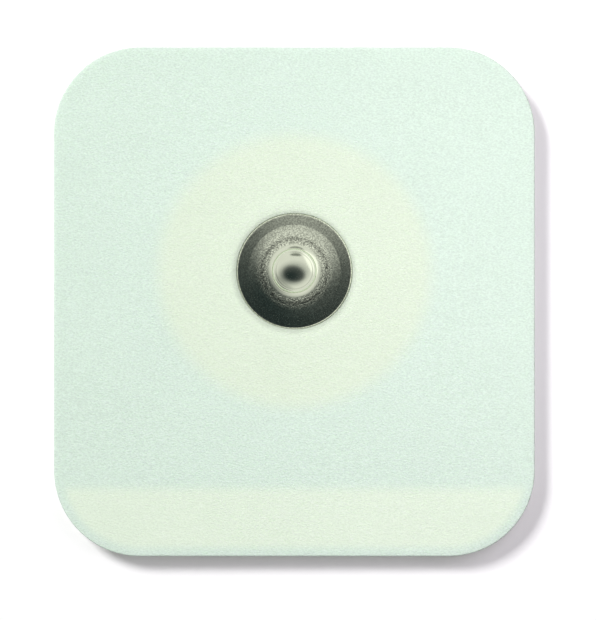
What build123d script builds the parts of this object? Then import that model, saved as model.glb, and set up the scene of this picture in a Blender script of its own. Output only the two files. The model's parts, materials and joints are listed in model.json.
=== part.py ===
from build123d import *
from math import acos, asin, cos, degrees, radians, sin, tan
import os

# Disposable monitoring electrode: a rounded square of foam that carries a metal snap stud.
# The origin is on the stud's axis, in the plane where the gel meets the skin.
# +Z points away from the skin, and +Y to the edge opposite the pull tab. Lengths are in millimetres.

# Pad
pad_width = 42.5
pad_length = 45.0
pad_corner_radius = 7.6
stud_above_middle = 2.7
foam_thickness = 1.0
foam_edge_radius = 0.2
adhesive_thickness = 0.08

# Films behind the foam
support_radius = 12.1
support_thickness = 0.12
tab_length = 6.0
tab_thickness = 0.10

# Gel under the sensor
gel_radius = 9.0
gel_thickness = 0.9
gel_edge_chamfer = 0.25

# Snap stud, drawn from sheet: each bend is a radius on the sheet's inner side
sheet_thickness = 0.25
head_radius = 1.95
head_land = 0.35
head_undercut = 0.25
dome_radius = 3.2
shoulder_bend = 0.13
bead_bend = 0.05
neck_length = 0.38
flare_radius = 0.64
collar_radius = 2.8
flange_radius = 5.1
rim_width = 1.05
rim_bend = 0.04
rim_foot = 0.12
collar_angle = 18.5
skirt_angle = 13.2
rim_angle = 8

# Sensor eyelet, riveted into the stud
sensor_thickness = 0.45

# Fits
fit_clearance = 0.02
hole_clearance = 0.07
rivet_clearance = 0.15

# Dip that the stud's flange presses into the foam
dip_depth = 0.3
dip_slope_run = 0.5

# Length by which cuts run past the surface they open
overrun = 0.5

# Place along a wide bend where the inner side of the sheet has a corner
bend_middle_share = 0.5

# Levels above the skin, from the gel up to the stud's seat
support_bottom = gel_thickness
adhesive_bottom = support_bottom + support_thickness
foam_bottom = adhesive_bottom + adhesive_thickness
foam_top = foam_bottom + foam_thickness
stud_seat = foam_top - dip_depth

# Radii of the stud's bends on its outer side
shoulder_radius = sheet_thickness + shoulder_bend
bead_radius = sheet_thickness + bead_bend
curl_radius = sheet_thickness + rim_bend

# Bends clearly wider than the shoulder's get two flats on their inner side
wide_bend_radius = shoulder_radius + fit_clearance

# Radii of the stud's neck and of the eyelet, whose flange backs the stud's flange
neck_radius = head_radius - head_undercut
post_radius = neck_radius - sheet_thickness - fit_clearance
post_hole_radius = post_radius + hole_clearance
rivet_radius = head_radius - sheet_thickness - rivet_clearance
sensor_radius = flange_radius

# Turns of the head's arcs: the dome and shoulder end upright, and the bead ends at the neck
dome_turn = degrees(asin((head_radius - shoulder_radius) / (dome_radius - shoulder_radius)))
bead_turn = degrees(acos(1 - head_undercut / (2 * bead_radius)))

# Heights and runs of the flange, from its foot up to the neck
curl_height = curl_radius * cos(radians(rim_angle))
curl_run = curl_radius * (1 - sin(radians(rim_angle)))
rim_run = rim_width - curl_run
rim_height = rim_run * tan(radians(rim_angle))
skirt_run = flange_radius - rim_width - collar_radius
skirt_height = skirt_run * tan(radians(skirt_angle))
flare_run = flare_radius * (1 - sin(radians(collar_angle)))
flare_height = flare_radius * cos(radians(collar_angle))
collar_run = collar_radius - flare_run - neck_radius
collar_height = collar_run * tan(radians(collar_angle))
flange_height = rim_foot + curl_height + rim_height + skirt_height + collar_height
neck_bottom = stud_seat + flange_height + flare_height

# Heights of the head, from the neck up to the crown
bead_height = 2 * bead_radius * sin(radians(bead_turn))
land_bottom = neck_bottom + neck_length + bead_height
land_top = land_bottom + head_land
shoulder_height = shoulder_radius * cos(radians(dome_turn))
dome_height = dome_radius * (1 - cos(radians(dome_turn)))
crown = land_top + shoulder_height + dome_height


def spin(section):
    """Revolve a section drawn with X as the radius and Y as the height."""
    return revolve(Plane.XZ * section, Axis.Z)


def pad_outline():
    """Rounded rectangle shared by the foam, the adhesive and the pull tab."""
    return Pos(0, -stud_above_middle) * RectangleRounded(pad_width, pad_length, pad_corner_radius)


def layer(outline, bottom, thickness):
    """Flat layer with the hole that the sensor's post goes through."""
    return Pos(0, 0, bottom) * extrude(outline - Circle(post_hole_radius), thickness)


def stud_dip():
    """Flat-bottomed dip under the stud's flange, wider at the foam's surface."""
    dip_radius = flange_radius + fit_clearance
    section = Polyline(
        (0, stud_seat),
        (dip_radius, stud_seat),
        (dip_radius + dip_slope_run, foam_top),
        (dip_radius + dip_slope_run, foam_top + overrun),
        (0, foam_top + overrun),
        close=True,
    )
    return spin(make_face(section))


def foam_backing():
    """Die-cut foam with a softly rounded upper edge and the dip under the stud."""
    slab = extrude(pad_outline(), foam_thickness)
    slab = fillet(slab.faces().sort_by(Axis.Z)[-1].edges(), foam_edge_radius)
    slab -= extrude(Circle(post_hole_radius), foam_thickness)
    return Pos(0, 0, foam_bottom) * slab - stud_dip()


def adhesive_coat():
    return layer(pad_outline(), adhesive_bottom, adhesive_thickness)


def support_disc():
    return layer(Circle(support_radius), support_bottom, support_thickness)


def tab_strip():
    """Film under the lower edge of the adhesive, cut to the pad's outline."""
    pad_end = -stud_above_middle - pad_length / 2
    band = Pos(0, pad_end) * Rectangle(pad_width, tab_length, align=(Align.CENTER, Align.MIN))
    return Pos(0, 0, adhesive_bottom - tab_thickness) * extrude(pad_outline() & band, tab_thickness)


def stud_outside():
    """Outer line of the stud's section, from the crown to the foot of its rim."""
    dome = JernArc((0, crown), (1, 0), dome_radius, -dome_turn)
    shoulder = JernArc(dome @ 1, dome % 1, shoulder_radius, dome_turn - 90)
    land = Line(shoulder @ 1, (head_radius, land_bottom))
    bead = JernArc(land @ 1, land % 1, bead_radius, -bead_turn)
    throat = JernArc(bead @ 1, bead % 1, bead_radius, bead_turn)
    neck = Line(throat @ 1, (neck_radius, neck_bottom))
    flare = JernArc(neck @ 1, neck % 1, flare_radius, 90 - collar_angle)
    collar = PolarLine(flare @ 1, collar_run / cos(radians(collar_angle)), -collar_angle)
    skirt = PolarLine(collar @ 1, skirt_run / cos(radians(skirt_angle)), -skirt_angle)
    rim = PolarLine(skirt @ 1, rim_run / cos(radians(rim_angle)), -rim_angle)
    curl = JernArc(rim @ 1, rim % 1, curl_radius, rim_angle - 90)
    foot = Line(curl @ 1, (flange_radius, stud_seat))
    return Wire([dome, shoulder, land, bead, throat, neck, flare, collar, skirt, rim, curl, foot])


def stud_inside(outside):
    """Inner line of the stud's section, one sheet inside the outer line, with bends as one or two flats."""
    points = []
    for edge in outside.edges():
        wide_bend = edge.geom_type == GeomType.CIRCLE and edge.radius > wide_bend_radius
        for share in (0, bend_middle_share) if wide_bend else (0,):
            along = edge % share
            points.append(edge @ share + sheet_thickness * Vector(along.Y, -along.X))
    foot = outside @ 1
    return Polyline(*points, (foot.X - sheet_thickness, foot.Y))


def snap_stud():
    """Drawn stud: one sheet that forms the head, neck, collar, skirt and curled rim."""
    outside = stud_outside()
    inside = stud_inside(outside)
    crown_wall = Line(inside @ 0, outside @ 0)
    foot_wall = Line(outside @ 1, inside @ 1)
    return spin(make_face([crown_wall, *outside.edges(), foot_wall, *inside.edges()]))


def sensor():
    """Eyelet with a thin round flange and a post that ends in a rivet inside the stud's head."""
    flange_bottom = support_bottom - sensor_thickness
    rivet_lead = rivet_radius - post_radius
    flange = Pos(0, 0, flange_bottom) * extrude(Circle(sensor_radius), sensor_thickness)
    section = Polyline(
        (0, flange_bottom),
        (post_radius, flange_bottom),
        (post_radius, land_bottom),
        (rivet_radius, land_bottom + rivet_lead),
        (rivet_radius, land_top),
        (0, land_top),
        close=True,
    )
    return flange + spin(make_face(section))


def gel_pad():
    """Round gel pad, cast around the sensor's flange."""
    disc = extrude(Circle(gel_radius), gel_thickness)
    disc = chamfer(disc.edges().sort_by(Axis.Z)[0], gel_edge_chamfer)
    recess = Pos(0, 0, gel_thickness - sensor_thickness) * extrude(
        Circle(sensor_radius + fit_clearance), sensor_thickness
    )
    return disc - recess


pieces = {
    "foam_backing": foam_backing(),
    "adhesive_coat": adhesive_coat(),
    "support_disc": support_disc(),
    "tab_strip": tab_strip(),
    "snap_stud": snap_stud(),
    "sensor": sensor(),
    "gel_pad": gel_pad(),
}

os.makedirs("parts", exist_ok=True)
for name, piece in pieces.items():
    export_step(piece, f"parts/{name}.step")
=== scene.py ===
import json
import math

import bpy
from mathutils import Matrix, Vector, noise


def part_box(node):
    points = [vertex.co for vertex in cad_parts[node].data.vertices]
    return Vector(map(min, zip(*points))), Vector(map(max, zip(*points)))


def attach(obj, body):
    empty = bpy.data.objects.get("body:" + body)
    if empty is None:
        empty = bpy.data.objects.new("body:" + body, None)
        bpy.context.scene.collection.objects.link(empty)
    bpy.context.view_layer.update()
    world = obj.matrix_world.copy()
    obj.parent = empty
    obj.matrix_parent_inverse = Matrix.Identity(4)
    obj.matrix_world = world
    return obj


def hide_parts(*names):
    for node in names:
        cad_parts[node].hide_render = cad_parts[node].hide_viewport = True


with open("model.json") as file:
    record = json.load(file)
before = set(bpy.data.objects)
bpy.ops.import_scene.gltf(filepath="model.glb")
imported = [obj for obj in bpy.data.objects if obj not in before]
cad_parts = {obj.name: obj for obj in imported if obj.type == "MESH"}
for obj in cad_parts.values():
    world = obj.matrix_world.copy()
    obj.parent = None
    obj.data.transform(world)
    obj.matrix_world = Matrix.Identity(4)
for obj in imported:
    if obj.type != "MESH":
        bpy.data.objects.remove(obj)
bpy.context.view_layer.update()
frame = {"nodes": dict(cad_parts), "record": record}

# A disposable monitoring electrode, seen from straight above. Lengths are in metres.
MM = 0.001

# Sizes read from the frame
foam_low, foam_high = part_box("foam_backing")
adhesive_low, adhesive_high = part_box("adhesive_coat")
stud_low, stud_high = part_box("snap_stud")
sensor_low, sensor_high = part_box("sensor")
gel_low, gel_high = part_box("gel_pad")
disc_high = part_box("support_disc")[1]
tab_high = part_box("tab_strip")[1]
snap_head = next(m for m in frame["record"]["mounts"] if m["name"] == "snap_head")

# Pad, as in the construction but for a tighter upper edge and a soft lip round the dip
corner_radius = 7.6 * MM
foam_edge_radius = 0.15 * MM
dip_slope_run = 0.5 * MM
dip_lip = 0.04 * MM
fit_clearance = 0.02 * MM
post_hole_radius = 1.5 * MM

# Stud, as in the construction but for its rim, which is a little flatter and curls tighter
head_radius = snap_head["dims"]["r_mm"] * MM
head_land = snap_head["dims"]["length_mm"] * MM
land_bottom = snap_head["pos_m"][2] - head_land / 2
sheet = 0.25 * MM
head_undercut = 0.25 * MM
dome_radius = 3.2 * MM
bead_radius = 0.3 * MM
flare_radius = 0.64 * MM
collar_radius = 2.8 * MM
crease_radius = 4.05 * MM
curl_radius = 0.15 * MM
foot_height = 0.26 * MM
rim_angle = 7.3
neck_radius = head_radius - head_undercut
flange_radius = stud_high.x

# The photograph's frame, its scale and where the stud's axis is in it
photo_width = 596
photo_height = 620
pixels_per_mm = 11.32
stud_pixel = (294.4, 271.2)


def smooth_step(value, low, high):
    """0 below low, 1 above high and a soft S between; high may be the smaller one."""
    share = min(max((value - low) / (high - low), 0.0), 1.0)
    return share * share * (3 - 2 * share)


# Meshes


def ring_mesh(name, rings, poles=None):
    """Mesh of quads between rings of as many points each.

    Two poles close its ends. Without them its last ring joins the first.
    """
    count = len(rings[0])
    points = [point for ring in rings for point in ring]
    faces = []
    for row in range(len(rings) - 1 if poles else len(rings)):
        here = row * count
        there = (row + 1) % len(rings) * count
        for i in range(count):
            j = (i + 1) % count
            faces.append((here + i, there + i, there + j, here + j))
    if poles:
        last_ring = (len(rings) - 1) * count
        start, end = len(points), len(points) + 1
        points += poles
        faces += [(start, i, (i + 1) % count) for i in range(count)]
        faces += [(last_ring + (i + 1) % count, last_ring + i, end) for i in range(count)]
    mesh = bpy.data.meshes.new(name)
    mesh.from_pydata(points, [], faces)
    mesh.polygons.foreach_set("use_smooth", [True] * len(mesh.polygons))
    mesh.validate()
    piece = bpy.data.objects.new(name, mesh)
    bpy.context.scene.collection.objects.link(piece)
    return piece


def float_attribute(piece, name, values):
    """Value for each vertex, which a material reads by its name."""
    layer = piece.data.attributes.new(name, "FLOAT", "POINT")
    layer.data.foreach_set("value", values)


def bend(start, radius, before, after, steps):
    """Points after start of a section's arc, as its slope goes from one angle to another in degrees.

    A slope is how far the section points down as it goes outwards. It sinks where the arc is hollow and
    grows where it is round.
    """
    side = radius if after < before else -radius
    slopes = [math.radians(before + (after - before) * i / steps) for i in range(steps + 1)]
    ends = [(side * math.sin(slope), side * math.cos(slope)) for slope in slopes]
    return [(start[0] + ends[0][0] - x, start[1] + ends[0][1] - z) for x, z in ends[1:]]


def wide_bend(start, end_radius, before, after, steps):
    """Arc like bend, with the radius that takes it out to end_radius."""
    reach = math.sin(math.radians(after)) - math.sin(math.radians(before))
    return bend(start, abs((end_radius - start[0]) / reach), before, after, steps)


def line(start, end, steps):
    """Points of a section's straight stretch after its start."""
    shares = [i / steps for i in range(1, steps + 1)]
    return [tuple(a + (b - a) * share for a, b in zip(start, end)) for share in shares]


def lathe(name, section, count, relief=None):
    """Mesh spun round the Z axis from a section of (radius, height), which starts and ends on the axis."""
    rings = []
    for radius, height in section[1:-1]:
        ring = []
        for i in range(count):
            turn = 2 * math.pi * i / count
            point = Vector((radius * math.cos(turn), radius * math.sin(turn), height))
            ring.append(relief(point, radius) if relief else point)
        rings.append(ring)
    return ring_mesh(name, rings, poles=[Vector((0, 0, section[i][1])) for i in (0, -1)])


# The foam's relief, and the rows of its mesh
wave_height, wave_size = 0.030 * MM, 9 * MM
pebble_height, pebble_size, pebble_level = 0.003 * MM, 0.55 * MM, 5 * MM
roll_height, roll_radius, roll_width = 0.02 * MM, 6.1 * MM, 0.55 * MM
calm_edge = 0.8 * MM
calm_dip, full_relief = 5.5 * MM, 7 * MM
cut_depth, cut_size = 0.02 * MM, 0.45 * MM
wall_hollow = 0.03 * MM
glue_waist, glue_foot = 0.015 * MM, 0.05 * MM
far_from_edge = 10 * MM
outline_count = 640
slope_rows = 8
top_rows = 68
edge_rows = 5
wall_rows = 7


def pad_outline(low, high):
    """Points of the rounded rectangle and their outward normals, evenly spaced along it."""
    straight_x = high.x - low.x - 2 * corner_radius
    straight_y = high.y - low.y - 2 * corner_radius
    corner = corner_radius * math.pi / 2
    sides = [
        (Vector((high.x, low.y + corner_radius)), Vector((0, 1)), straight_y),
        (Vector((high.x - corner_radius, high.y)), Vector((-1, 0)), straight_x),
        (Vector((low.x, high.y - corner_radius)), Vector((0, -1)), straight_y),
        (Vector((low.x + corner_radius, low.y)), Vector((1, 0)), straight_x),
    ]
    step = (2 * straight_x + 2 * straight_y + 4 * corner) / outline_count
    rows = []
    travel = 0.0
    for start, along, length in sides:
        normal = Vector((along.y, -along.x))
        centre = start + along * length - normal * corner_radius
        while travel < length:
            rows.append((start + along * travel, normal))
            travel += step
        while travel < length + corner:
            turn = (travel - length) / corner_radius
            out = normal * math.cos(turn) + along * math.sin(turn)
            rows.append((centre + out * corner_radius, out))
            travel += step
        travel -= length + corner
    return rows[:outline_count]


def circle(rows, radius, height):
    """Ring of points on a circle, one towards each point of the outline."""
    spots = [spot.normalized() * radius for spot, normal in rows]
    return [Vector((spot.x, spot.y, height)) for spot in spots]


def inset_ring(rows, inset, height):
    """Ring of points along the outline, drawn in by an inset."""
    return [(spot - normal * inset).to_3d() + Vector((0, 0, height)) for spot, normal in rows]


def foam_relief(x, y, edge):
    """Height of the foam's skin above flat: long soft waves, fine pebbles and a roll round the stud's dip."""
    reach = math.hypot(x, y)
    waves = wave_height * noise.noise(Vector((x, y, 0)) / wave_size)
    pebbles = pebble_height * noise.noise(Vector((x, y, pebble_level)) / pebble_size)
    roll = roll_height * math.exp(-(((reach - roll_radius) / roll_width) ** 2))
    calm = smooth_step(edge, 0, calm_edge) * smooth_step(reach, calm_dip, full_relief)
    return (waves + pebbles) * calm + roll


# Each layer of the foam is a ring, its points' distances from the edge, and its share of cut wall.


def dip_layers(rows):
    """From the post's hole over the dip's floor and up its slope to the lip."""
    far = [far_from_edge] * outline_count
    dip_foot = flange_radius + fit_clearance
    yield circle(rows, post_hole_radius, stud_low.z), far, 0
    yield circle(rows, dip_foot, stud_low.z), far, 0
    for i in range(slope_rows + 1):
        share = i / slope_rows
        height = foam_high.z - dip_lip * (1 - share) ** 2
        yield circle(rows, dip_foot + dip_slope_run * share, height), far, 0


def top_layer(rows, share):
    """The foam's top, at a share of the way from the dip to the rounded edge."""
    dip_top = flange_radius + fit_clearance + dip_slope_run
    ring, edge = [], []
    for spot, normal in rows:
        start = spot.normalized() * dip_top
        end = spot - normal * foam_edge_radius
        place = start.lerp(end, share)
        gap = (1 - share) * (end - start).length * abs(normal.dot((end - start).normalized()))
        height = foam_high.z + foam_relief(place.x, place.y, gap)
        ring.append(Vector((place.x, place.y, height)))
        edge.append(gap + foam_edge_radius)
    return ring, edge, 0


def edge_layer(rows, share):
    """The foam's rounded upper edge, at a share of its quarter turn."""
    turn = math.pi / 2 * share
    inset = foam_edge_radius * (1 - math.sin(turn))
    height = foam_high.z - foam_edge_radius * (1 - math.cos(turn))
    return inset_ring(rows, inset, height), [inset] * outline_count, share


def wall_layer(rows, share):
    """The cut wall at a share of the way down: rough and a little hollow, but for its foot."""
    height = foam_high.z - foam_edge_radius + (foam_low.z - foam_high.z + foam_edge_radius) * share
    ring = []
    for spot, normal in rows:
        place = Vector((spot.x, spot.y, height))
        cut = cut_depth * noise.noise(place / cut_size) - wall_hollow * math.sin(math.pi * share)
        ring.append(place + normal.to_3d() * min(cut, 0) * (share < 1))
    return ring, [0.0] * outline_count, 1


def make_foam():
    """The die-cut foam: pebbled top with a dip under the stud, a rounded upper edge and a cut wall."""
    rows = pad_outline(foam_low, foam_high)
    layers = list(dip_layers(rows))
    for layer, count in ((top_layer, top_rows), (edge_layer, edge_rows), (wall_layer, wall_rows)):
        layers += [layer(rows, i / count) for i in range(1, count + 1)]
    layers.append((circle(rows, post_hole_radius, foam_low.z), [far_from_edge] * outline_count, 0))
    foam = ring_mesh("foam_pad", [ring for ring, edge, wall in layers])
    float_attribute(foam, "edge", [distance for ring, edge, wall in layers for distance in edge])
    float_attribute(foam, "wall", [wall for ring, edge, wall in layers for point in ring])
    return foam


def make_adhesive():
    """The coat of glue under the foam, drawn in a little at its cut edge."""
    rows = pad_outline(adhesive_low, adhesive_high)
    middle = (adhesive_low.z + adhesive_high.z) / 2
    rings = [circle(rows, post_hole_radius, adhesive_high.z)]
    for inset, height in ((0, adhesive_high.z), (glue_waist, middle), (glue_foot, adhesive_low.z)):
        rings.append(inset_ring(rows, inset, height))
    rings.append(circle(rows, post_hole_radius, adhesive_low.z))
    return ring_mesh("adhesive_layer", rings)


# The stud. A narrow ledge rings its dome, and its collar is hollow and flows into the skirt and the rim,
# where the construction has flats.
stud_count = 480
ledge_radius = 1.55 * MM
ledge_bend = 0.25 * MM
ledge_angle = 20
shoulder_angle = 60
shoulder_radius = 0.35 * MM
collar_start_angle = 25
collar_end_angle = 14.0
skirt_start_angle = 13.3
skirt_end_angle = 10.5
soft_bend = 1.2 * MM
inside_stride = 5

# Orange peel that drawing leaves on the collar and the skirt, calmer on the skirt
peel_start = 2.2 * MM
peel_full = 2.55 * MM
peel_fade = 3.75 * MM
peel_end = 4.1 * MM
calm_start = 2.9 * MM
peel_calm = 3.5 * MM
calm_share = 0.12
coarse_peel, coarse_size = 0.006 * MM, 0.15 * MM
fine_peel, fine_size = 0.008 * MM, 0.09 * MM
fine_shift = Vector((7, 3, 1))


def head_section():
    """Section of the stud's head, from the crown to the neck."""
    dome_turn = math.degrees(math.asin(ledge_radius / dome_radius))
    shoulder_start = head_radius - shoulder_radius * (1 - math.sin(math.radians(shoulder_angle)))
    under_turn = 90 + math.degrees(math.acos(1 - head_undercut / (2 * bead_radius)))
    section = [(0, stud_high.z)]
    section += bend(section[-1], dome_radius, 0, dome_turn, steps=28)
    section += bend(section[-1], ledge_bend, dome_turn, ledge_angle, steps=4)
    section += wide_bend(section[-1], shoulder_start, ledge_angle, shoulder_angle, steps=12)
    section += bend(section[-1], shoulder_radius, shoulder_angle, 90, steps=8)
    section += line(section[-1], (head_radius, land_bottom), steps=4)
    section += bend(section[-1], bead_radius, 90, under_turn, steps=7)
    return section + bend(section[-1], bead_radius, under_turn, 90, steps=7)


def flange_section():
    """Section of the stud's flange, from the neck to the seat."""
    section = [(neck_radius, 0)]
    section += bend(section[-1], flare_radius, 90, collar_start_angle, steps=16)
    section += wide_bend(section[-1], collar_radius, collar_start_angle, collar_end_angle, steps=16)
    section += bend(section[-1], soft_bend, collar_end_angle, skirt_start_angle, steps=4)
    section += wide_bend(section[-1], crease_radius, skirt_start_angle, skirt_end_angle, steps=36)
    section += bend(section[-1], soft_bend, skirt_end_angle, rim_angle, steps=5)
    run = flange_radius - curl_radius * (1 - math.sin(math.radians(rim_angle))) - section[-1][0]
    curl_start = (section[-1][0] + run, section[-1][1] - run * math.tan(math.radians(rim_angle)))
    section += line(section[-1], curl_start, steps=11)
    section += bend(section[-1], curl_radius, rim_angle, 90, steps=9)
    lift = stud_low.z + foot_height - section[-1][1]
    return [(radius, height + lift) for radius, height in section] + [(flange_radius, stud_low.z)]


def sheet_inside(section):
    """Inner side of the sheet: some of the section's points, each moved in by the sheet, from the foot up."""
    foot = (flange_radius - sheet, section[-1][1])
    points = []
    for i in range(0, len(section) - 1, inside_stride):
        before = Vector(section[max(i - 1, 0)])
        after = Vector(section[i + 1])
        along = (after - before).normalized()
        points.append((section[i][0] + sheet * along.y if i else 0, section[i][1] - sheet * along.x))
    return [foot] + [point for point in points[::-1] if point[0] < foot[0]]


def peel_relief(point, radius):
    """A point of the stud, moved up or down by the orange peel."""
    zone = smooth_step(radius, peel_start, peel_full) * smooth_step(radius, peel_end, peel_fade)
    if zone == 0:
        return point
    zone *= 1 - (1 - calm_share) * smooth_step(radius, calm_start, peel_calm)
    coarse = noise.noise(point / coarse_size)
    fine = noise.noise(point / fine_size + fine_shift)
    return point + Vector((0, 0, zone * (coarse_peel * coarse + fine_peel * fine)))


def make_stud():
    """The drawn stud, a sheet with its inner side."""
    section = head_section() + flange_section()
    return lathe("snap_stud_metal", section + sheet_inside(section), stud_count, peel_relief)


# The sensor, whose post ends in a rivet, and the gel
sensor_count = 128
sensor_edge = 0.12 * MM
rivet_clearance = 0.15 * MM
rivet_bevel = 0.08 * MM
mark_depth = 0.04 * MM
mark_radii = (2.9 * MM, 2.8 * MM, 2.6 * MM, 2.5 * MM)
gel_count = 192
gel_edge = 0.3 * MM
gel_waist, gel_brim = 0.02 * MM, 0.06 * MM


def make_sensor():
    """The coated eyelet: a flange with rounded edges and a shallow ring mark below, and its post."""
    radius, crown = sensor_high.x, sensor_high.z
    top, bottom = gel_high.z, sensor_low.z
    post = neck_radius - sheet - fit_clearance
    rivet = head_radius - sheet - rivet_clearance
    mark = list(zip(mark_radii, (bottom, bottom + mark_depth, bottom + mark_depth, bottom)))
    section = [(0, crown), (rivet - rivet_bevel, crown), (rivet, crown - rivet_bevel)]
    section += [(rivet, crown - head_land + rivet - post), (post, crown - head_land), (post, top)]
    section += line(section[-1], (radius - sensor_edge / 2, top), steps=4)
    section += bend(section[-1], sensor_edge / 2, 0, 90, steps=4)
    section += line(section[-1], (radius, bottom + sensor_edge), steps=2)
    section += bend(section[-1], sensor_edge, 90, 180, steps=6)
    section += line(section[-1], mark[0], steps=4)
    section += mark[1:]
    section += line(section[-1], (0, bottom), steps=4)
    return lathe("sensor_eyelet", section, sensor_count)


def make_gel():
    """The cast gel pad: flat below where it rests, with a soft rounded edge and a recess for the eyelet."""
    radius, top = gel_high.x, gel_high.z
    floor, recess_floor = gel_low.z, sensor_low.z
    recess = sensor_high.x + fit_clearance
    edge_start = (radius - gel_edge, floor + gel_edge)
    section = [(0, floor)]
    section += line(section[-1], (radius - gel_edge, floor), steps=12)
    section += [(x, 2 * floor + gel_edge - z) for x, z in bend(edge_start, gel_edge, 0, 90, steps=8)]
    section += line(section[-1], (radius - gel_waist, (floor + top) / 2), steps=2)
    section += line(section[-1], (radius - gel_brim, top), steps=3)
    section += line(section[-1], (recess, top), steps=3)
    section += line(section[-1], (recess, recess_floor), steps=1)
    section += line(section[-1], (0, recess_floor), steps=3)
    gel = lathe("gel_cushion", section, gel_count)
    gel.data.flip_normals()
    return gel


# Materials


class Surface:
    """The shading of a material or the world in the making: its node tree, and short ways to add to it."""

    # Sockets of the node that mixes colours
    mix_inputs = (0, 6, 7)
    mix_output = 2

    def __init__(self, owner):
        self.owner = owner
        owner.use_nodes = True
        self.tree = owner.node_tree
        self.tree.nodes.clear()
        self.place = self.add("ShaderNodeTexCoord").outputs["Object"]

    def set_input(self, socket, value):
        """Links a socket to another node's, or gives it a value."""
        if isinstance(value, bpy.types.NodeSocket):
            self.tree.links.new(value, socket)
        else:
            socket.default_value = value

    def add(self, kind, inputs=None, **settings):
        node = self.tree.nodes.new(kind)
        for key, value in settings.items():
            setattr(node, key, value)
        for key, value in (inputs or {}).items():
            self.set_input(node.inputs[key], value)
        return node

    def math(self, operation, a, b):
        return self.add("ShaderNodeMath", {0: a, 1: b}, operation=operation).outputs[0]

    def plus(self, a, b):
        return self.math("ADD", a, b)

    def times(self, a, b):
        return self.math("MULTIPLY", a, b)

    def rest(self, value, share=1.0):
        """1 less a share of a value."""
        return self.math("SUBTRACT", 1.0, self.times(value, share))

    def above_half(self, value):
        return self.math("SUBTRACT", value, 0.5)

    def vary(self, value, depth):
        """1 plus depth times how far a value is above a half."""
        return self.plus(1.0, self.times(self.above_half(value), depth))

    def step(self, value, low, high):
        """Soft step from 0 at low to 1 at high."""
        inputs = {"Value": value, "From Min": low, "From Max": high}
        return self.add("ShaderNodeMapRange", inputs, interpolation_type="SMOOTHSTEP").outputs[0]

    def flat_place(self):
        """The place with its height left out."""
        inputs = {0: self.place, 1: (1, 1, 0)}
        return self.add("ShaderNodeVectorMath", inputs, operation="MULTIPLY").outputs[0]

    def distance(self, place, point=(0, 0, 0)):
        """How far a place is from a point."""
        node = self.add("ShaderNodeVectorMath", {0: place, 1: point}, operation="DISTANCE")
        return node.outputs["Value"]

    def attribute(self, name):
        return self.add("ShaderNodeAttribute", attribute_name=name).outputs["Fac"]

    def noise(self, size, detail=2.0, roughness=0.5, place=None, distortion=0.0):
        """Noise whose blobs are about size across, from 0 to 1."""
        inputs = {"Vector": place or self.place, "Scale": 1 / size, "Detail": detail}
        inputs.update({"Roughness": roughness, "Distortion": distortion})
        return self.add("ShaderNodeTexNoise", inputs).outputs["Fac"]

    def stretched(self, scale, turn=0.0):
        """The place turned and scaled, so that a noise on it is drawn out."""
        inputs = {"Vector": self.place, "Rotation": (0, 0, turn), "Scale": scale}
        return self.add("ShaderNodeMapping", inputs).outputs[0]

    def cells(self, size):
        """Distance from the nearest cell's middle, in cells of about this size."""
        inputs = {"Vector": self.place, "Scale": 1 / size}
        return self.add("ShaderNodeTexVoronoi", inputs).outputs["Distance"]

    def blend(self, share, a, b):
        """Colour from a, at share 0, to b, at share 1."""
        node = self.add("ShaderNodeMix", data_type="RGBA")
        for index, value in zip(self.mix_inputs, (share, a, b)):
            self.set_input(node.inputs[index], value)
        return node.outputs[self.mix_output]

    def shade(self, colour, amount):
        """Colour times a number."""
        inputs = {0: colour, "Scale": amount}
        return self.add("ShaderNodeVectorMath", inputs, operation="SCALE").outputs[0]

    def darken(self, colour, mask, amount):
        """Colour made darker by an amount where a mask is 1."""
        return self.shade(colour, self.rest(mask, amount))

    def bump(self, height, depth):
        return self.add("ShaderNodeBump", {"Height": height, "Distance": depth}).outputs[0]

    def finish(self, **sockets):
        """Principled shader with these sockets, named with underscores for spaces."""
        inputs = {key.replace("_", " "): value for key, value in sockets.items()}
        shader = self.add("ShaderNodeBsdfPrincipled", inputs)
        return self.show(shader)

    def show(self, shader):
        """Makes a shader the material's surface."""
        self.add("ShaderNodeOutputMaterial", {"Surface": shader.outputs[0]})
        return self.owner


# The foam's colours over bare foam, the disc and the tab, and how softly the films end
pad_colour = (0.737, 0.893, 0.765, 1)
disc_colour = (0.788, 0.912, 0.730, 1)
band_colour = (0.825, 0.968, 0.778, 1)
disc_fade_out, disc_fade_in = 1.0 * MM, 1.1 * MM
band_fade = 0.7 * MM
band_edge_start, band_edge_full = 0.3 * MM, 1.3 * MM

# The foam's shades: a broad cloud, painted shade at its edge, and a soft ring of painted shade round the
# flange
cloud_size, cloud_depth = 4.0 * MM, 0.04
painted_edge_shade, painted_edge_shade_width = 0.93, 0.16 * MM
# Painted shade round the flange: a soft ring centred a little to the lower left, so it reaches further there
painted_shade_centre = (-0.06 * MM, -0.06 * MM, 0)
painted_shade_start, painted_shade_full, painted_shade_depth = 5.7 * MM, 5.1 * MM, 0.22

# The foam's grain: crepe that is stronger on bare foam, pits, and the cut wall's pores with painted shade in
# them
crepe_size, crepe_stretch, crepe_turn = 0.125 * MM, (0.60, 1.0, 1.0), math.radians(25)
film_crepe, bare_crepe = 0.30, 0.17
pit_size, pit_share = 0.14 * MM, 0.5
pore_size, pore_reach, pore_share = 0.16 * MM, 0.55, 0.8
painted_pore_shade = 0.16
foam_bump = 0.05 * MM


def film_masks(s, flat, edge):
    """Masks of the round film and of the tab's film, as they show through the foam."""
    disc = s.step(s.distance(flat), disc_high.x + disc_fade_out, disc_high.x - disc_fade_in)
    along = s.add("ShaderNodeSeparateXYZ", {0: s.place}).outputs["Y"]
    band = s.step(along, tab_high.y + band_fade, tab_high.y - band_fade)
    return disc, s.times(band, s.step(edge, band_edge_start, band_edge_full))


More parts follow.
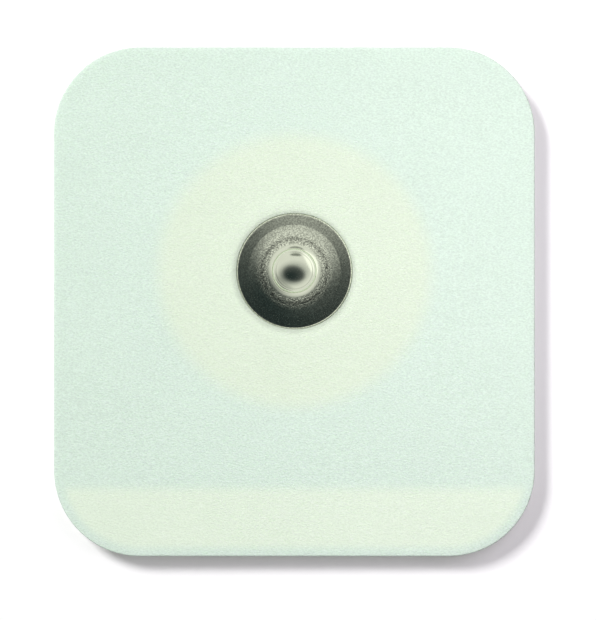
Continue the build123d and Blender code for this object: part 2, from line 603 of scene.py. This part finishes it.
def painted_edge_shading(s, edge):
    """Painted shade on the foam's rounded edge and cut wall, gone a little way in."""
    inputs = {"Value": edge, "From Min": 0.0, "From Max": painted_edge_shade_width, "To Min": painted_edge_shade}
    return s.add("ShaderNodeMapRange", inputs).outputs[0]


def foam_material():
    """White-green closed-cell foam, warmer where a film backs it, with a fine crepe and a cut wall."""
    s = Surface(bpy.data.materials.new("closed_cell_foam"))
    flat, edge, wall = s.flat_place(), s.attribute("edge"), s.attribute("wall")
    disc, band = film_masks(s, flat, edge)
    colour = s.blend(band, s.blend(disc, pad_colour, disc_colour), band_colour)
    colour = s.shade(colour, s.vary(s.noise(cloud_size), cloud_depth))
    # Painted shade on the rounded edge and the cut wall
    colour = s.shade(colour, painted_edge_shading(s, edge))
    # Painted shade: a soft ring round the flange, wider to the lower left
    painted_shade_ring = s.step(s.distance(flat, painted_shade_centre), painted_shade_start, painted_shade_full)
    colour = s.darken(colour, painted_shade_ring, painted_shade_depth)
    # Painted shade in the pores of the cut wall, which also sink in the bump
    pores = s.step(s.cells(pore_size), 0.0, pore_reach)
    colour = s.blend(s.times(wall, painted_pore_shade), colour, s.shade(colour, pores))
    lay = s.stretched(crepe_stretch, crepe_turn)
    crepe = s.noise(crepe_size, detail=2.0, roughness=0.6, place=lay, distortion=0.2)
    bare = s.rest(s.math("MAXIMUM", disc, band))
    colour = s.shade(colour, s.vary(crepe, s.plus(film_crepe, s.times(bare, bare_crepe))))
    height = s.plus(crepe, s.times(s.noise(pit_size, detail=2.0, roughness=0.6), pit_share))
    height = s.plus(height, s.times(s.times(pores, wall), pore_share))
    return s.finish(
        Base_Color=colour,
        Roughness=0.72,
        Subsurface_Weight=0.25,
        Subsurface_Radius=(1.0, 1.1, 0.9),
        Subsurface_Scale=0.7 * MM,
        Specular_IOR_Level=0.35,
        Normal=s.bump(height, foam_bump),
    )


# The stud's plating and its shades: painted shade in the pits of the peel and in the crease, the darker rim
# and its turning marks
plate_light = (0.680, 0.717, 0.572, 1)
plate_dark = (0.610, 0.642, 0.514, 1)
tone_size = 0.9 * MM
pit_low, pit_high, painted_pit_shade = 0.53, 0.43, 0.45
speck_size = 0.11 * MM
rim_full, rim_shade = 4.3 * MM, 0.08
crease_in, crease_in_full, crease_out_full, crease_out = 2.62 * MM, 2.84 * MM, 2.88 * MM, 3.1 * MM
painted_crease_shade = 0.25
frost_size, frost_low, frost_high = 0.12 * MM, 0.38, 0.62
frost_share, frost_peel = 0.5, 0.2
turning_pitch = 0.05 * MM
turning_low, turning_high, turning_share = 0.35, 0.65, 0.35
plate_roughness, peel_roughness, rim_roughness = 0.10, 0.05, 0.04
smooth_speck, turning_height = 0.02, 0.035
plate_bump = 0.02 * MM


def turning_marks(s, reach):
    """Noise of the distance from the axis alone, in rings like those that turning leaves."""
    inputs = {"W": s.times(reach, 1 / turning_pitch), "Scale": 1.0, "Detail": 2.0}
    return s.add("ShaderNodeTexNoise", inputs, noise_dimensions="1D").outputs["Fac"]


def plate_colour(s, reach, peel, rim, speck, turning):
    """Nickel's colour, with painted shade in its pits and crease, its darker rim, its frost and the rim's
    streaks.
    """
    colour = s.blend(s.noise(tone_size, detail=3.0), plate_light, plate_dark)
    # Painted shade in the pits of the peel, where the bump sinks
    colour = s.darken(colour, s.times(peel, s.step(speck, pit_low, pit_high)), painted_pit_shade)
    colour = s.darken(colour, rim, rim_shade)
    # Painted shade along the crease between the collar and the skirt
    crease = s.times(s.step(reach, crease_in, crease_in_full), s.step(reach, crease_out, crease_out_full))
    colour = s.darken(colour, crease, painted_crease_shade)
    grain = s.step(s.noise(frost_size, detail=1.0), frost_low, frost_high)
    frost = s.times(s.step(reach, peel_start, peel_full), s.above_half(grain))
    frost = s.times(frost, s.plus(frost_share, s.times(peel, frost_peel)))
    streaks = s.times(rim, s.above_half(s.step(turning, turning_low, turning_high)))
    return s.shade(colour, s.plus(1.0, s.plus(frost, s.times(streaks, turning_share))))


def stud_material():
    """Nickel plate: bright head, frosted peel on the cone and a satin rim with turning marks."""
    s = Surface(bpy.data.materials.new("nickel_plate"))
    reach = s.distance(s.flat_place())
    peel = s.times(s.step(reach, peel_start, peel_full), s.step(reach, peel_end, peel_fade))
    peel = s.times(peel, s.rest(s.step(reach, calm_start, peel_calm), 1 - calm_share))
    rim = s.step(reach, peel_fade, rim_full)
    turning = turning_marks(s, reach)
    speck = s.noise(speck_size, detail=2.0, roughness=0.7)
    roughness = s.plus(plate_roughness, s.times(peel, peel_roughness))
    height = s.plus(s.times(speck, s.plus(peel, smooth_speck)), s.times(turning, turning_height))
    return s.finish(
        Base_Color=plate_colour(s, reach, peel, rim, speck, turning),
        Metallic=1.0,
        Roughness=s.plus(roughness, s.times(rim, rim_roughness)),
        Normal=s.bump(height, plate_bump),
    )


def adhesive_material():
    """Clear tacky glue over the foam's underside, with a slight ripple."""
    glue, ripple_share, ripple_depth = (0.80, 0.86, 0.76), 0.3, 0.02 * MM
    s = Surface(bpy.data.materials.new("acrylic_glue"))
    colour = s.shade(glue, s.vary(s.noise(size=2.5 * MM, detail=3.0), depth=0.06))
    ripple = s.plus(s.noise(size=0.9 * MM, detail=3.0), s.times(s.noise(size=0.2 * MM), ripple_share))
    return s.finish(
        Base_Color=colour,
        Roughness=0.22,
        Subsurface_Weight=0.2,
        Subsurface_Radius=(1.0, 1.0, 0.8),
        Subsurface_Scale=0.4 * MM,
        Normal=s.bump(ripple, ripple_depth),
    )


def film_material():
    """Off-white plastic film with a faint drawing grain."""
    film_colour, drawn_out = (0.90, 0.90, 0.80), (1.0, 0.12, 1.0)
    s = Surface(bpy.data.materials.new("backing_film"))
    grain = s.noise(size=0.25 * MM, detail=3.0, place=s.stretched(drawn_out))
    colour = s.shade(film_colour, s.vary(grain, depth=0.04))
    return s.finish(Base_Color=colour, Roughness=0.38, Normal=s.bump(grain, depth=0.006 * MM))


def sensor_material():
    """Silver and silver-chloride coat: dull grey with a granular bloom."""
    dark, light = (0.30, 0.30, 0.30, 1), (0.46, 0.45, 0.44, 1)
    base_roughness, grit_roughness = 0.45, 0.2
    s = Surface(bpy.data.materials.new("silver_chloride"))
    bloom = s.step(s.noise(size=0.5 * MM, detail=5.0, roughness=0.65), low=0.3, high=0.7)
    grit = s.noise(size=0.08 * MM)
    return s.finish(
        Base_Color=s.blend(bloom, dark, light),
        Metallic=0.35,
        Roughness=s.plus(base_roughness, s.times(grit, grit_roughness)),
        Normal=s.bump(grit, depth=0.006 * MM),
    )


def gel_material():
    """Wet, slightly hazy hydrogel, through which the sensor shows as a greyer round."""
    hazy, clear, sensor_grey = (0.78, 0.86, 0.82, 1), (0.86, 0.92, 0.89, 1), (0.36, 0.38, 0.38, 1)
    blur, show_through = 0.3 * MM, 0.6
    s = Surface(bpy.data.materials.new("hydrogel"))
    haze = s.noise(size=1.6 * MM, detail=3.0)
    behind = s.step(s.distance(s.place), sensor_high.x + blur, sensor_high.x - blur)
    colour = s.blend(s.times(behind, show_through), s.blend(haze, hazy, clear), sensor_grey)
    return s.finish(
        Base_Color=colour,
        Roughness=0.12,
        IOR=1.37,
        Transmission_Weight=0.2,
        Subsurface_Weight=0.5,
        Subsurface_Radius=(1.0, 1.0, 1.0),
        Subsurface_Scale=1.0 * MM,
        Normal=s.bump(haze, depth=0.03 * MM),
    )


def dress(piece, material, node):
    """Gives a piece its material, slot and body, and hides the construction node that it stands for."""
    piece.data.materials.append(material)
    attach(piece, "root")
    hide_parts(node)


foam = make_foam()
dress(foam, foam_material(), "foam_backing")
dress(make_adhesive(), adhesive_material(), "adhesive_coat")
dress(make_stud(), stud_material(), "snap_stud")
dress(make_sensor(), sensor_material(), "sensor")
gel = make_gel()
dress(gel, gel_material(), "gel_pad")

film = film_material()
for node in ("support_disc", "tab_strip"):
    for material_slot in frame["nodes"][node].material_slots:
        material_slot.material = film


# The floor, which is lifted to white where it is seen, and far away more
white = (1, 1, 1, 1)
floor_paint = (0.96, 0.96, 0.96, 1)
floor_reach = 3.0
floor_level = -0.005 * MM
floor_lift = 0.17
far_lift, far_start, far_full = 0.75, 60 * MM, 250 * MM

# The light, and the height over the stud of the cards that the metal reflects
world_light = 0.15
key_power = 3.39
fill_power = 0.0166
fill_colour = (1.10, 0.98, 1.12)
card_height = 300 * MM
card_points = 96

# The camera, whose sensor is measured in millimetres
camera_distance = 200 * MM
camera_sensor_width = 36


def set_visible(thing, *kinds):
    """Only these kinds of ray see the thing."""
    for kind in ("camera", "diffuse", "glossy", "transmission", "volume_scatter", "shadow"):
        setattr(thing, f"visible_{kind}", kind in kinds)


def seen_directly(s):
    """1 for camera, glossy and transmission rays, and 0 for the rays that carry light to a surface."""
    path = s.add("ShaderNodeLightPath").outputs
    seen = s.math("MAXIMUM", path["Is Camera Ray"], path["Is Glossy Ray"])
    return s.math("MAXIMUM", seen, path["Is Transmission Ray"])


def flat_piece(name, points):
    """Stage piece of one face through these points."""
    mesh = bpy.data.meshes.new(name)
    mesh.from_pydata(points, [], [tuple(range(len(points)))])
    piece = bpy.data.objects.new(name, mesh)
    bpy.context.scene.collection.objects.link(piece)
    return piece


def make_floor():
    """White floor that keeps the object's shadow, lifted to white for the rays that see it."""
    turns = ((-1, -1), (1, -1), (1, 1), (-1, 1))
    floor = flat_piece("floor", [(x * floor_reach, y * floor_reach, floor_level) for x, y in turns])
    s = Surface(bpy.data.materials.new("floor_white"))
    paint = s.add("ShaderNodeBsdfDiffuse", {"Color": floor_paint})
    away = s.step(s.distance(s.place), far_start, far_full)
    lift = s.times(seen_directly(s), s.plus(floor_lift, s.times(away, far_lift)))
    glow = s.add("ShaderNodeEmission", {"Color": white, "Strength": lift})
    both = s.add("ShaderNodeAddShader", {0: paint.outputs[0], 1: glow.outputs[0]})
    floor.data.materials.append(s.show(both))


def make_card(name, middle, half_sizes, facing, soft, cover, colour, strength=1.0):
    """Round card with a soft border, turned to the object, which only its reflections show.

    Places are shares of the card's height over the stud, and soft is the share of its radius where the
    border starts.
    """
    turns = [2 * math.pi * i / card_points for i in range(card_points)]
    card = flat_piece(name, [(math.cos(turn), math.sin(turn), 0) for turn in turns])
    card.location = Vector(middle) * card_height
    card.rotation_euler = facing
    card.scale = (half_sizes[0] * card_height, half_sizes[1] * card_height, 1)
    s = Surface(bpy.data.materials.new(name))
    share = s.times(s.step(s.distance(s.place), low=1.0, high=soft), cover)
    print_on = s.add("ShaderNodeEmission", {"Color": colour, "Strength": strength})
    clear = s.add("ShaderNodeBsdfTransparent")
    both = s.add("ShaderNodeMixShader", {0: share, 1: clear.outputs[0], 2: print_on.outputs[0]})
    card.data.materials.append(s.show(both))
    set_visible(card, "glossy")


def facing_stud(place):
    """Turn of a card at a place that faces the stud."""
    return Vector(place).to_track_quat("Z", "Y").to_euler()


def make_cards():
    """Above the stud: a soft dark veil with a darker camera within it, a dim room at the lower left with its
    wall low beside it, a shelf low at the top, and a bright window low at the upper right."""

    def level(degrees):
        return (0, 0, math.radians(degrees))

    wall, window = (-1.5, -1.75, 0.52), (0.93, 0.49, 0.55)
    make_card(
        "veil", middle=(-0.23, -0.30, 1.02), half_sizes=(1.76, 1.11), facing=level(10.5),
        soft=0.05, cover=0.96, colour=(0.030, 0.048, 0.053, 1),
    )
    make_card(
        "camera_body", middle=(-0.01, -0.19, 1.0), half_sizes=(0.91, 0.62), facing=level(-18),
        soft=0.47, cover=0.74, colour=(0.016, 0.028, 0.031, 1),
    )
    make_card(
        "room", middle=(-1.64, -0.81, 1.04), half_sizes=(0.59, 2.55), facing=level(57.7),
        soft=0.5, cover=0.47, colour=(0.29, 0.31, 0.28, 1),
    )
    make_card(
        "shelf", middle=(0.12, 1.33, 1.0), half_sizes=(0.6, 0.30), facing=level(0),
        soft=0.5, cover=0.8, colour=(0.10, 0.12, 0.10, 1),
    )
    make_card(
        "wall", middle=wall, half_sizes=(2.1, 0.55), facing=facing_stud(wall),
        soft=0.4, cover=0.85, colour=(0.13, 0.14, 0.12, 1),
    )
    make_card(
        "window", middle=window, half_sizes=(1.05, 0.40), facing=facing_stud(window),
        soft=0.6, cover=1.0, colour=white, strength=1.5,
    )


def make_lamp(name, direction, distance, size, power, colour=(1, 1, 1)):
    """Square lamp that faces the stud from a direction and that reflections don't show."""
    data = bpy.data.lights.new(name, "AREA")
    data.size = size
    data.energy = power
    data.color = colour
    lamp = bpy.data.objects.new(name, data)
    away = Vector(direction).normalized()
    lamp.location = away * distance
    lamp.rotation_euler = away.to_track_quat("Z", "Y").to_euler()
    bpy.context.scene.collection.objects.link(lamp)
    set_visible(lamp, "diffuse", "transmission", "shadow")


def make_world():
    """World that is white where it is seen and lights the rest only dimly."""
    world = bpy.data.worlds.new("studio")
    bpy.context.scene.world = world
    s = Surface(world)
    inputs = {"Value": seen_directly(s), "To Min": world_light, "To Max": 1.0}
    strength = s.add("ShaderNodeMapRange", inputs).outputs[0]
    background = s.add("ShaderNodeBackground", {"Color": white, "Strength": strength})
    s.add("ShaderNodeOutputWorld", {"Surface": background.outputs[0]})


def make_camera():
    """Camera straight above, framed as the photograph is."""
    pixel = MM / pixels_per_mm
    data = bpy.data.cameras.new("camera")
    data.sensor_width = camera_sensor_width
    data.lens = camera_sensor_width * camera_distance / (photo_height * pixel)
    camera = bpy.data.objects.new("camera", data)
    x = (photo_width / 2 - stud_pixel[0]) * pixel
    y = (stud_pixel[1] - photo_height / 2) * pixel
    camera.location = (x, y, foam_high.z + camera_distance)
    bpy.context.scene.collection.objects.link(camera)
    bpy.context.scene.camera = camera


make_floor()
make_world()
make_lamp("key", (-0.75, 0.70, 1.0), distance=600 * MM, size=175 * MM, power=key_power)
make_lamp("fill", (0.6, 0.12, 1.0), distance=75 * MM, size=50 * MM, power=fill_power, colour=fill_colour)
make_cards()
make_camera()
bpy.context.scene.view_settings.view_transform = "Standard"
